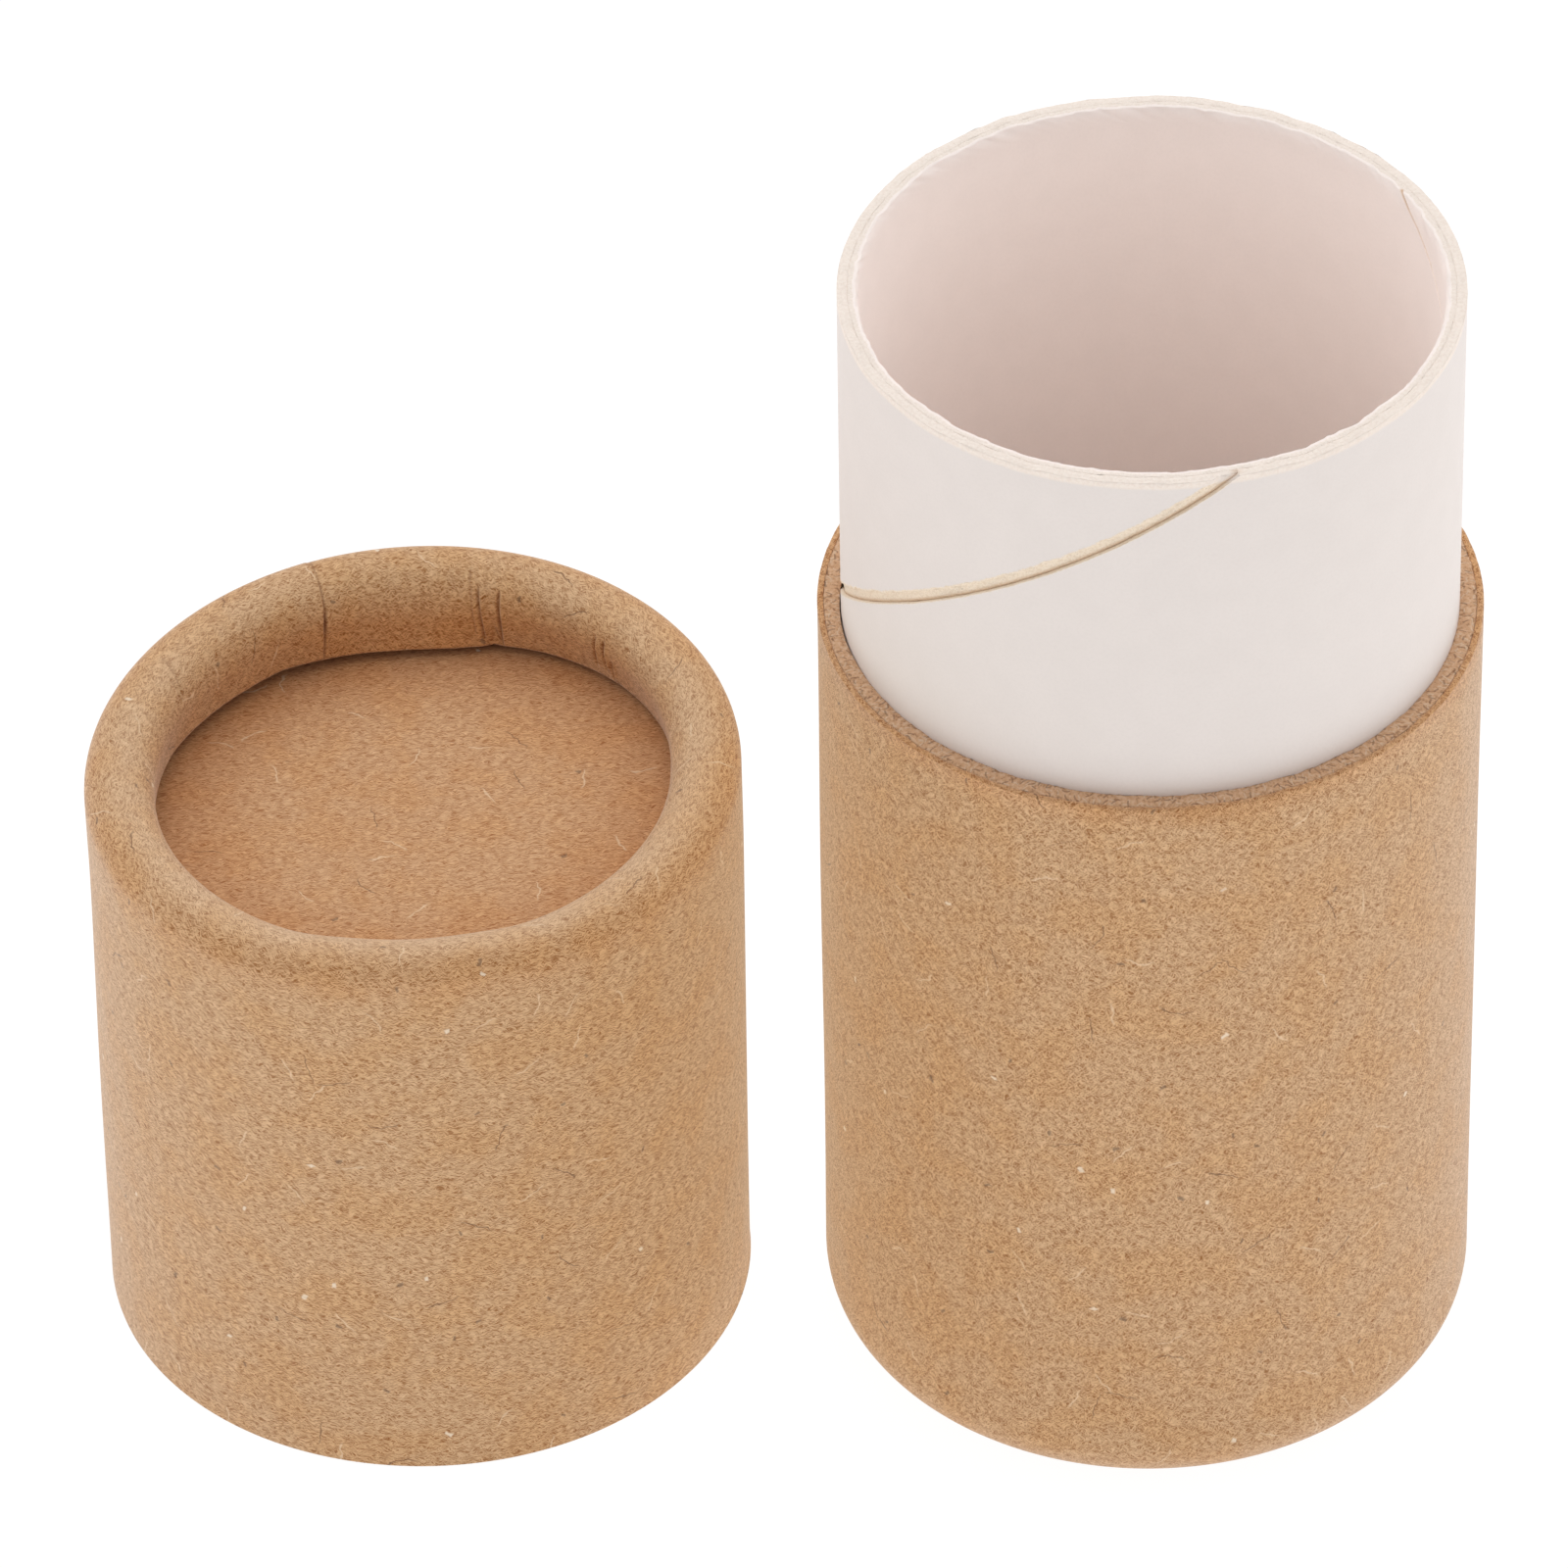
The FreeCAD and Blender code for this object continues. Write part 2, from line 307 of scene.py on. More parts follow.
def shade(red, green, blue):
    """A colour as seen on a screen, 0 to 255, as the light value that the shader needs."""
    seen = np.array([red, green, blue]) / 255
    light = np.where(seen <= 0.04045, seen / 12.92, ((seen + 0.055) / 1.055) ** 2.4)
    return (*light.tolist(), 1.0)


def new_material(name, roughness, sheen):
    """A matt paper material, with its constants set on the shader, and an Ink to start its nodes from."""
    material = bpy.data.materials.new(name)
    material.use_nodes = True
    shader = material.node_tree.nodes["Principled BSDF"]
    shader.inputs["Roughness"].default_value = roughness
    shader.inputs["Sheen Weight"].default_value = sheen
    shader.inputs["Sheen Roughness"].default_value = 0.45
    shader.inputs["Specular IOR Level"].default_value = 0.3
    return material, Ink(material.node_tree), shader


def finish_material(ink, shader, colour, height, distance):
    """Links a colour and a height in shares of a distance to the shader."""
    ink.tree.links.new(colour.socket, shader.inputs["Base Color"])
    bump = ink.node("ShaderNodeBump", {}, {"Strength": 1.0, "Distance": distance * MM, "Height": height})
    ink.tree.links.new(bump.socket, shader.inputs["Normal"])


def flat_sheet(ink):
    """The place on the flat sheet, in millimetres."""
    return ink.node("ShaderNodeUVMap", {"uv_map": "sheet"})


def mark(ink, name):
    """A mark that was kept at each point of a piece, or 0 on a piece without it."""
    return ink.node("ShaderNodeAttribute", {"attribute_name": name}, output=2)


def noise(ink, place, scale, detail, rough=0.5, output=0):
    """Soft random blotches on the flat sheet, at so many to the millimetre."""
    return ink.node("ShaderNodeTexNoise", {"noise_dimensions": "2D"},
                    {"Vector": place, "Scale": scale, "Detail": detail, "Roughness": rough}, output)


def fibres(ink, place, cell, length, width, seed, share):
    """Loose fibres on the sheet, one to a cell in a share of the cells, each a bowed streak at its own angle.

    Each random cell of the sheet turns the place about the cell's middle by a random angle, bends it by the
    square of the distance along it, and keeps a streak of the given length and width.
    """
    spot = ink.node("ShaderNodeMapping", {}, {"Vector": place, "Location": (seed * 7.31, seed * 3.77, 0.0),
                                              "Scale": (1 / cell, 1 / cell, 1.0)})
    cells = ink.node("ShaderNodeTexVoronoi", {"voronoi_dimensions": "2D"}, {"Vector": spot, "Scale": 1.0})
    away = ink.node("ShaderNodeVectorMath", {"operation": "SUBTRACT"}, {0: spot, 1: cells.other("Position")})
    chance = ink.node("ShaderNodeSeparateColor", {}, {0: cells.other("Color")})
    turned = ink.node("ShaderNodeVectorRotate", {"rotation_type": "Z_AXIS"},
                      {"Vector": away, "Angle": chance * math.pi})
    along = ink.node("ShaderNodeSeparateXYZ", {}, {0: turned})
    bow = (chance.other(1) - 0.5) * 1.6
    aside = abs(along.other(1) + along * along * bow - bow * 0.04)
    inside = 1 - aside.above(0.3 * width / cell, width / cell)
    ends = 1 - abs(along).above(0.3 * length / cell, 0.55 * length / cell)
    return inside * ends * chance.other(2).above(1 - share, 1.01 - share)


# A felted fibre's length and width, and where the crest of its noise starts and is full.
DEEP_FIBRE = (0.45, 0.085, 0.48, 0.74)
PALE_FIBRE = (0.8, 0.072, 0.54, 0.68)
FIBRE_LAYERS = 8
GOLDEN = 0.618
SECOND_LIE = 0.45


def felted(ink, place, colour, lie, spread, deep, pale, strength):
    """Short felted fibres laid over a colour, and the relief that they give: dark and pale layers by turns.

    A layer is noise stretched to a fibre's length and width at two directions, spread about the paper's lie
    by the golden ratio. Only the crests of the noise count: they lay the layer's colour over what is below.
    """
    relief = 0.0
    for layer in range(FIBRE_LAYERS):
        is_pale = layer % 2
        length, width, low, high = PALE_FIBRE if is_pale else DEEP_FIBRE
        crests = []
        for share in (layer * GOLDEN % 1, (layer * GOLDEN + SECOND_LIE) % 1):
            turned = (0.0, 0.0, lie + spread * (share - 0.5))
            laid = ink.node("ShaderNodeMapping", {"vector_type": "TEXTURE"},
                            {"Vector": place, "Location": (layer * 5.3 + share * 9.1, layer * 2.9, 0.0),
                             "Rotation": turned, "Scale": (length, width, 1.0)})
            crests.append(noise(ink, laid, 1.0, 0.0).above(low, high))
        crest = ink.sum_of("MAXIMUM", *crests)
        colour = (crest * strength).over(shade(*(pale if is_pale else deep)), colour)
        relief = crest * (0.25 if is_pale else -0.2) + relief
    return colour, relief


PAPER = (186, 143, 98)
PAPER_DEEP = (145, 91, 37)
PAPER_PALE = (224, 187, 146)
BLOTCH_TINT = (1.0, 0.95, 0.86, 1)
# Partly the paper's own warmth where it was pressed, partly painted shade.
WARM_TINT = (1.0, 0.84, 0.68, 1)
# A painted highlight.
RUBBED_PAPER = (244, 222, 198)
# Painted shade in creases, along the lap and towards the discs' rims, and its weight.
CREASE_COLOUR = (104, 58, 28)
CREASE_WEIGHT = 0.85
# Pale hairs, dark hairs, dark specks and white flecks: the cell, length, width, seed and share of each kind
# of loose fibre, its weight and its colour.
LOOSE_FIBRES = (
    (3.0, 2.2, 0.09, 5, 0.16, 0.6, (232, 204, 170)),
    (3.4, 2.6, 0.07, 7, 0.08, 0.65, (104, 70, 46)),
    (3.1, 0.5, 0.16, 8, 0.09, 0.6, (98, 74, 58)),
    (4.0, 0.45, 0.22, 9, 0.06, 0.8, (240, 222, 198)),
)


def kraft(name, lie, spread, paper, deep, pale, strength):
    """Brown kraft paper: felted fibres and soft orange blotches, with sparse hairs, specks and white flecks.

    One mark turns it a deeper orange: the paper's own tint where it was pressed at a cut, and painted shade
    in the lid's curl, under its crest and towards the discs' rims. Another lays a painted highlight on the
    lid's crest, and a third darkens it with painted shade in the lid's creases, along its lap and towards the
    discs' rims.
    """
    material, ink, shader = new_material(name, 0.8, 0.28)
    sheet = flat_sheet(ink)
    drift = noise(ink, sheet, 1.3, 1.0, output=1)
    bend = ink.node("ShaderNodeVectorMath", {"operation": "MULTIPLY_ADD"},
                    {0: drift, 1: (0.5, 0.5, 0.0), 2: sheet})
    colour, relief = felted(ink, bend, shade(*paper), lie, spread, deep, pale, strength)
    blotch = noise(ink, sheet, 0.22, 3.0)
    colour = blotch.above(0.4, 0.66).over(BLOTCH_TINT, colour, "MULTIPLY")
    colour = mark(ink, "warm").over(WARM_TINT, colour, "MULTIPLY")
    colour = mark(ink, "rubbed").over(shade(*RUBBED_PAPER), colour)
    for cell, length, width, seed, share, weight, tone in LOOSE_FIBRES:
        loose = fibres(ink, bend, cell, length, width, seed, share)
        colour = (loose * weight).over(shade(*tone), colour)
    colour = (mark(ink, "crease") * CREASE_WEIGHT).over(shade(*CREASE_COLOUR), colour)
    finish_material(ink, shader, colour, relief, 0.006)
    return material


def dress(piece, material, body, slot, *nodes):
    """Gives a piece its material and the body that it moves with, and hides the solids that it stands for.
    The slot is not used.
    """
    piece.data.materials.append(material)
    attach(piece, body)
    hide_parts(*nodes)


PAPER_FRAY = 0.05
PAPER_FRAY_REACH = 1.2
PRESSED_WARMTH = 0.55

kraft_paper = kraft("kraft_paper", 0.0, math.pi, PAPER, PAPER_DEEP, PAPER_PALE, 0.7)

angle = angles_round(BASE_LAP, 620)
near = ply_path(0.0, BASE_CURL, (8, 12, 2, 20, 34))
far = ply_path(FACING, BASE_CURL, (2, 6, 1, 8, 6))
across, up, cut = ply_section(near, far, 4, 7)
along = running_length(across, up)
faced = (np.arange(len(across)) < len(near[0])) * 1.0
across_grid = across + faced * (lap_swell(angle, BASE_LAP) + wall_swell(angle, up, BASE_CURL, 11))
fray = ramp(up, BASE_HEIGHT - PAPER_FRAY_REACH, BASE_HEIGHT)
up_grid = up + fray * PAPER_FRAY * ragged(angle, 20, 300, 12)[:, None]
wander = 0.3 * ragged(angle, 6, 60, 13)[:, None]
pressed = ramp(up + wander, BASE_HEIGHT - 1.3, BASE_HEIGHT - 0.6)
base_wrap = tube_piece("base_wrap_paper", BASE_AXIS, angle, across_grid, up_grid, along,
                       warm=pressed * PRESSED_WARMTH)
dress(base_wrap, kraft_paper, "base", "kraft_facing", "base_wrap")

# The base's board tube is spiral-wound grey-brown board under the facing. It is sawn off square at the mouth,
# which leaves a fuzzy edge, and at the foot it is rolled in with the paper until its end meets the disc.

GLUE = 0.05
WALL = 1.5
SAWN_FRAY = 0.05
SAWN_REACH = 0.6
SAWN_FUZZ = 0.06
OPEN_SIDE = math.radians(188)
OPEN_WIDTH = 0.2
BOARD_FACE = ((168, 138, 108), (178, 148, 118))
BOARD_CUT = (208, 165, 128)


def fuzz_lines(angle, places, fewest, most, seeds):
    """One ragged line for each place on an outline, from a run of seeds that is gone through in turn."""
    return np.stack([ragged(angle, fewest, most, seeds[k % len(seeds)]) for k in range(places)], 1)


def grey_board(name):
    """Recycled board: a smooth dull face, and a cut edge of loose pale and dark fibres."""
    material, ink, shader = new_material(name, 0.9, 0.1)
    sheet = flat_sheet(ink)
    cut = mark(ink, "cut")
    felt = noise(ink, sheet, 3.4, 4.0, 0.7)
    pale = fibres(ink, sheet, 0.5, 0.5, 0.07, 1, 0.7)
    deep = fibres(ink, sheet, 0.6, 0.6, 0.08, 2, 0.7)
    blotch = noise(ink, sheet, 0.3, 3.0)
    face = blotch.above(0.35, 0.65).over(shade(*BOARD_FACE[1]), shade(*BOARD_FACE[0]))
    colour = cut.over(shade(*BOARD_CUT), face)
    colour = (felt.above(0.45, 0.66) * (0.2 + cut * 0.35)).over(shade(228, 198, 168), colour)
    colour = ((1 - felt).above(0.54, 0.7) * (0.2 + cut * 0.45)).over(shade(138, 98, 68), colour)
    colour = (pale.above(0.0, 0.5) * (0.2 + cut * 0.3)).over(shade(232, 206, 178), colour)
    colour = (deep.above(0.1, 0.5) * (0.2 + cut * 0.35)).over(shade(122, 84, 60), colour)
    finish_material(ink, shader, colour, felt + pale * 0.6, 0.05)
    return material


board = grey_board("grey_board")

angle = angles_round(BASE_LAP, 760)
near = ply_path(FACING + GLUE, BASE_CURL, (2, 6, 1, 8, 6))
far = ply_path(WALL, BASE_CURL, (4, 8, 2, 10, 20))
across, up, cut = ply_section(near, far, 4, 9)
along = running_length(across, up)
fray = ramp(up, BASE_HEIGHT - SAWN_REACH, BASE_HEIGHT)
fuzz = fuzz_lines(angle, len(up), 60, 380, range(30, 30 + len(up)))
up_grid = up + fray * (SAWN_FRAY * ragged(angle, 20, 300, 21)[:, None] + SAWN_FUZZ * fuzz)
# At the rim the board fills the gaps to the paper and the neck, except on the side where a gap shows.
share = (near[0][-1] - across) / (near[0][-1] - far[0][-1])
open_side = bell(apart(angle, OPEN_SIDE), OPEN_WIDTH)[:, None]
spread = 0.06 * (1 - share) - 0.14 * share * (1 - open_side) + 0.03 * fuzz * cut
base_core = tube_piece("base_board_tube", BASE_AXIS, angle, across + fray * spread, up_grid, along, cut=cut)
dress(base_core, board, "base", "kraft_board", "base_core")

# The base's disc is die-cut board faced with the same kraft paper. It is pushed down the tube until it lies
# on the curl's end, and the neck holds it there.

DISC_RADIUS = 20.9
DISC_THICKNESS = 1.5
DISC_ROUND = 0.2
DISC_TURNS = 300
DISC_RINGS = 56
# Where the painted shade on a disc starts and where it is full, in millimetres from the middle.
DISC_EDGE = (10.0, 18.0)
DISC_WARMTH = 0.8
DISC_DARK = 0.18


def disc_piece(name, axis, bottom, face_at):
    """A board disc: rings from the middle of one face, over a rounded rim, to the middle of the other.

    A point is the axis plus its distance across in the direction of its angle. The height is that of its
    face, and face_at adds a rise from the place on the disc, the same on both faces. Painted shade makes the
    paper warmer and darker towards the rim.
    """
    angle = np.arange(DISC_TURNS) * TURN / DISC_TURNS
    swing = np.linspace(-math.pi / 2, math.pi / 2, 7)
    flat = np.linspace(0.02, 1, DISC_RINGS) * (DISC_RADIUS - DISC_ROUND)
    rounded = DISC_RADIUS - DISC_ROUND + DISC_ROUND * np.cos(swing)[1:-1]
    across = np.concatenate([flat, rounded, flat[::-1]])
    half = DISC_THICKNESS / 2
    rise = np.concatenate([np.full(DISC_RINGS, -half), half * np.sin(swing)[1:-1], np.full(DISC_RINGS, half)])
    x = np.cos(angle)[:, None] * across
    y = np.sin(angle)[:, None] * across
    z = bottom + half + rise + face_at(x, y)
    ring = np.stack([axis[0] + x, axis[1] + y, z], -1).reshape(-1, 3)
    middle = np.array([[axis[0], axis[1], bottom + half + s * half + face_at(0.0, 0.0)] for s in (-1, 1)])
    points = np.concatenate([ring, middle])
    places = len(across)
    i, j = np.meshgrid(np.arange(DISC_TURNS), np.arange(places - 1), indexing="ij")
    corners = ((0, 0), (1, 0), (1, 1), (0, 1))
    quads = np.stack([((i + a) % DISC_TURNS) * places + j + b for a, b in corners], -1).reshape(-1, 4)
    k = np.arange(DISC_TURNS)
    after = (k + 1) % DISC_TURNS
    pole = np.full(DISC_TURNS, len(ring))
    low = np.stack([after * places, k * places, pole, pole], 1)
    high = np.stack([k * places, after * places, pole, pole], 1) + np.array([places - 1, places - 1, 1, 1])
    faces = np.concatenate([quads, low, high])
    sheet = points[:, :2] - np.array(axis)
    edge = ramp(np.hypot(*sheet.T), *DISC_EDGE)
    side = np.where(points[:, 2] - bottom > half, 0.5, 0.0)
    unit = np.stack([sheet[:, 0] / 84 + 0.25 + side, sheet[:, 1] / 44 + 0.5], -1)
    return fill_mesh(name, points, faces, sheet[faces], unit[faces],
                     warm=edge * DISC_WARMTH, crease=edge * DISC_DARK)


def lies_level(x, y):
    """The lie of a disc with no slope: no rise anywhere."""
    return 0 * x


kraft_board = kraft("kraft_board_face", 0.0, 1.1, (187, 136, 88), (148, 88, 36), (226, 185, 143), 0.52)

base_disc = disc_piece("base_floor_disc", BASE_AXIS, BASE_CURL["depth"], lies_level)
dress(base_disc, kraft_board, "base", "kraft_disc", "base_disc")

# The neck's inner ply is a strip of white-faced board wound in a spiral, its edges butted so that only a hair
# line shows inside. Its outer side is bare cream board, and it stands on the base's disc.

NECK_RADIUS = 20.9
NECK_PLY = 0.7
NECK_FOOT = 6.4
NECK_RIM = 88.5
NECK_SHOWN = 60.0
FOOT_ROUND = 0.2
RIM_ROUND = 0.06
RIM_STEPS = 9
RIM_FRAY_REACH = 1.0
RIM_FUZZ = 0.03
SAW_STEP = math.radians(-12)
# The lining's white is paler than the cover's: painted light that stands in for light inside the neck.
LINING_WHITE = (252, 240, 234)
SEAM_TAN = (206, 166, 124)


def white_ply(name, face):
    """White-faced board: a faintly mottled face, a cream cut rim, pale bared board in the open seam, and a
    painted highlight in the same pale colour along the seam's clean edge.
    """
    material, ink, shader = new_material(name, 0.7, 0.05)
    sheet = flat_sheet(ink)
    rim = mark(ink, "rim")
    bare = mark(ink, "bare")
    felt = noise(ink, sheet, 4.0, 3.0, 0.65)
    cloud = noise(ink, sheet, 0.35, 3.0)
    bits = fibres(ink, sheet, 0.55, 0.5, 0.08, 1, 0.7)
    lighter, darker, speckle = [shade(*[part + change for part in face]) for change in (0.8, -0.8, -7)]
    pale = cloud.above(0.3, 0.7).over(lighter, darker)
    pale = (felt.above(0.4, 0.7) * 0.25).over(speckle, pale)
    cream = (felt.above(0.36, 0.66) * 0.5).over(shade(236, 220, 207), shade(247, 235, 225))
    cream = (bits.above(0.05, 0.6) * 0.3).over(shade(248, 238, 226), cream)
    rough = (felt.above(0.36, 0.66) * 0.7).over(shade(228, 208, 184), shade(248, 232, 212))
    rough = ((1 - felt).above(0.6, 0.74) * 0.5).over(shade(188, 168, 148), rough)
    worn = (bare + (felt - 0.5) * 0.9 * bare).above(0.25, 0.6)
    colour = worn.over(rough, pale)
    colour = (rim + (felt - 0.5) * 0.6 * rim).above(0.2, 0.7).over(cream, colour)
    colour = mark(ink, "line").over(shade(*SEAM_TAN), colour)
    height = felt * (0.15 + worn * 0.7 + rim * 0.5) + bits * worn * 0.3
    finish_material(ink, shader, colour, height, 0.04)
    return material


def neck_rows(hidden_steps, shown_steps):
    """Heights up a neck ply, with steps of their own for the length in the base and the length that shows."""
    hidden = np.linspace(NECK_FOOT + FOOT_ROUND, NECK_SHOWN, hidden_steps, endpoint=False)
    return np.concatenate([hidden, np.linspace(NECK_SHOWN, NECK_RIM - RIM_ROUND, shown_steps)])


def neck_outline(rows, outside, inside):
    """A neck ply's outline: up its outer face, over the rim's cut, down its inner face and across the foot.

    Also gives 1 on the cut edges and the share of the way from the outer face to the inner one.
    """
    rim_across, rim_up = cut_edge((outside, rows[-1]), (inside, rows[-1]), RIM_STEPS, RIM_ROUND)
    foot = np.linspace(inside, outside, 4)[1:-1]
    across = np.concatenate([np.full(len(rows), outside), rim_across, np.full(len(rows), inside), foot])
    up = np.concatenate([rows, rim_up, rows[::-1], np.full(2, NECK_FOOT)])
    cut = np.concatenate([np.zeros(len(rows)), np.ones(RIM_STEPS), np.zeros(len(rows)), np.ones(2)])
    return across, up, cut, (outside - across) / (outside - inside)


def rim_line(angle):
    """The height of the neck's rim over its mean, an uneven line that both plies share.

    It drops where the saw ran out and comes back round the tube.
    """
    past_step = (angle - SAW_STEP) % TURN
    return 0.09 * ragged(angle, 4, 70, 41) - 0.12 * np.exp(-past_step * NECK_RADIUS / 5)


INNER_RADIUS = NECK_RADIUS - NECK_PLY - GLUE
INNER_SEAM = math.radians(30.4)
INNER_PITCH = 62.0
INNER_BANDS = ((27.5, 33.5), (-13, -11))
GROOVE_WIDTH = 0.18
GROOVE_DEPTH = 0.12
GROOVE_TAN = 0.95

white_inside = white_ply("white_lining", LINING_WHITE)

angle = angles_round(INNER_SEAM, 380, INNER_BANDS)
across, up, cut, depth = neck_outline(neck_rows(60, 48), INNER_RADIUS, INNER_RADIUS - NECK_PLY)
along = running_length(across, up)
wound = angle[:, None] + (up - NECK_RIM) / INNER_PITCH * TURN
from_seam = np.minimum(angle - INNER_SEAM, INNER_SEAM + TURN - angle) * INNER_RADIUS
groove = bell(from_seam, GROOVE_WIDTH)[:, None] * ramp(depth, 0.5, 1)
fray = ramp(up, NECK_RIM - RIM_FRAY_REACH, NECK_RIM)
fuzz = fuzz_lines(angle, len(up), 40, 320, range(50, 70))
up_grid = up + fray * (rim_line(angle)[:, None] + RIM_FUZZ * fuzz * cut)
# At the rim the outer face closes up to the outer ply, and the inner edge is rolled outwards by the saw.
closing_up = fray * (1 - depth) * 1.3 * GLUE
rolled = ramp(up, NECK_RIM - 0.5, NECK_RIM) ** 2 * depth
wander = 0.22 + 0.08 * ragged(angle, 9, 60, 44) + 0.06 * ragged(angle, 60, 180, 45)
across_grid = across + groove * GROOVE_DEPTH + closing_up + rolled * wander[:, None]
rim = ramp(up, NECK_RIM - 0.25, NECK_RIM - 0.05) * (1 - ramp(depth, 0.45, 0.75))
neck_inner = tube_piece("neck_lining", BASE_AXIS, wound, across_grid, up_grid, along,
                        rim=rim, bare=1 - depth, line=groove * GROOVE_TAN)
dress(neck_inner, white_inside, "base", "white_ply", "neck_inner_ply")

# The neck's outer ply is a second white-faced strip, wound the same way over the first. Its edges stop short
# of each other, so a slanting seam about a millimetre wide shows bare board, with a torn upper edge.

SEAM_PITCH = 88.5
SEAM_RIM = math.radians(-80)
SEAM_GAP = 1.0
BAKE_STRIP = 0.97
BAKE_ENDS = 0.98
ENDS_ALONG = 200.0
COVER_WHITE = (234, 225, 220)
EDGE_STEPS = np.array([0, 0.06, 0.14, 0.26, 0.45, 0.8]) / NECK_RADIUS
BARED_STEPS = np.array([0.06, 0.15, 0.4, 0.65, 0.9, 1.15, 1.44]) / NECK_RADIUS

white_outside = white_ply("white_cover", COVER_WHITE)

rows = neck_rows(12, 130)
across, up, cut, depth = neck_outline(rows, NECK_RADIUS, NECK_RADIUS - NECK_PLY)
along = running_length(across, up)
gap = SEAM_GAP / SEAM_PITCH * TURN
span = TURN - gap
# The strip runs from its clean edge to its torn edge, and then as bared board across most of the gap.
between_edges = np.linspace(0.1, span - 0.1, 290)
turn = np.concatenate([EDGE_STEPS, between_edges, span - EDGE_STEPS[::-1], span + BARED_STEPS])
past_tear = np.clip((turn - span) * NECK_RADIUS, 0, None)[:, None]
torn_edge = np.exp(-np.abs(span - turn) * NECK_RADIUS / 0.3)[:, None]
clean_edge = np.exp(-turn * NECK_RADIUS / 0.2)[:, None]
wavering = torn_edge * ragged(up * 0.6, 4, 60, 61) * 0.2 + clean_edge * ragged(up * 0.6, 2, 12, 62) * 0.03
wound = SEAM_RIM + gap + (up - NECK_RIM) / SEAM_PITCH * TURN + turn[:, None] + wavering / NECK_RADIUS
fray = ramp(up, NECK_RIM - RIM_FRAY_REACH, NECK_RIM)
fuzz = fuzz_lines(turn, len(up), 40, 320, range(70, 90))
up_grid = up + fray * (rim_line(turn + SEAM_RIM + gap)[:, None] + RIM_FUZZ * fuzz * cut)
bared = ramp(past_tear, 0, 0.1)
shreds = ragged(up * 0.6 + past_tear, 10, 90, 66) * (1 - ramp(past_tear, 1.1, 1.3))
drop = bared * (0.16 + 0.05 * shreds) + 0.1 * past_tear
across_grid = across + fray * cut * 0.02 * ragged(turn, 30, 300, 64)[:, None] - (1 - depth) * drop
rim = ramp(up, NECK_RIM - 0.75, NECK_RIM - 0.15)
# The torn edge and the gap show bared board; along the clean edge the same colour is a painted highlight.
bare = np.maximum(np.maximum(depth, bared), np.maximum(torn_edge * 0.8, clean_edge * 0.6))
tan_line = ramp(past_tear, 0.95, 1.25) * 0.4 + clean_edge * ramp(depth, 0, 0.5) * 0.3
rounds, places = up_grid.shape
points = np.stack([across_grid * np.cos(wound), across_grid * np.sin(wound), up_grid], -1).reshape(-1, 3)
i, j = np.meshgrid(np.arange(rounds - 1), np.arange(places), indexing="ij")
ring = [(i, j), (i + 1, j), (i + 1, j + 1), (i, j + 1)]
faces = np.stack([a * places + b % places for a, b in ring], -1).reshape(-1, 4)
sheet = [np.stack([wound[a, b % places] * NECK_RADIUS, along[b]], -1) for a, b in ring]
sheet = np.stack(sheet, 2).reshape(-1, 4, 2)
unit = [np.stack([turn[a] / TURN, along[b] / along[-1]], -1) for a, b in ring]
unit = np.stack(unit, 2).reshape(-1, 4, 2) * BAKE_STRIP + BAKE_MARGIN
# Each end of the strip is closed from the foot to the rim by a ladder of faces between its two sides.
rungs = np.arange(-1, len(rows) + RIM_STEPS // 2 + 1)
outer_side = rungs % places
inner_side = (2 * len(rows) + RIM_STEPS - 1 - rungs) % places
first_end = np.stack([inner_side[:-1], outer_side[:-1], outer_side[1:], inner_side[1:]], 1)
last_end = first_end[:, [1, 0, 3, 2]] + (rounds - 1) * places
ends = np.concatenate([first_end, last_end])
end_up = points[ends][..., 2]
end_across = np.hypot(points[ends][..., 0], points[ends][..., 1])
sheet_end = np.stack([end_up + ENDS_ALONG, end_across], -1)
unit_end = np.stack([BAKE_ENDS + (end_across - NECK_RADIUS + NECK_PLY) / 50, end_up / 100], -1)
faces = np.concatenate([faces, ends])
sheet = np.concatenate([sheet, sheet_end])
unit = np.concatenate([unit, unit_end])
rim, bare, tan_line = [np.broadcast_to(values, up_grid.shape) for values in (rim, bare, tan_line)]
neck_outer = fill_mesh("neck_cover", points, faces, sheet, unit, rim=rim, bare=bare, line=tan_line)
dress(neck_outer, white_outside, "base", "white_ply", "neck_outer_ply")

# The lid's facing is the same kraft paper on the same tube stock, cut shorter and stood on its mouth, so that
# the curl is at the top. The paper is creased where it was rolled in, and its lap shows as a line there. Both
# are darkened with painted shade.

LID_HEIGHT = 45.8
LID_CURL = {"shoulder": 1.8, "tail": 2.7, "depth": 4.9, "height": LID_HEIGHT}
LID_AXIS = (-50.4, 4.25)
LID_LAP = math.radians(110.4)
RIM_SLOPE = (0.027, 0.04)
DISC_SLOPE = (0.045, 0.0)
LID_SWELL = 0.08
FRONT = -math.pi / 2
FRONT_RISE = 0.5
FRONT_WIDTH = 0.36
TAIL_BEND = 0.8
CURL_BACK = LID_LAP - math.pi / 9
CURL_BACK_WIDTH = math.sqrt(0.6)
# How far the curl's end stands from its true circle, by the angle round the lid in degrees.
LIP_ANGLES = (-180, -120, -60, 0, 9, 15, 22, 39, 50, 61, 70, 72.5, 75, 81, 87, 96, 104, 112, 121, 131, 143,
              157, 168, 180)
LIP_REACHES = (0.2, 0.1, 0.1, 0.1, 0.37, 0.67, 0.83, 0.95, 0.8, 0.6, 0.3, 0.35, -0.1, -0.55, -0.68, -0.6,
               -0.3, 0.0, 0.4, 0.3, 0.35, 0.55, 0.4, 0.2)
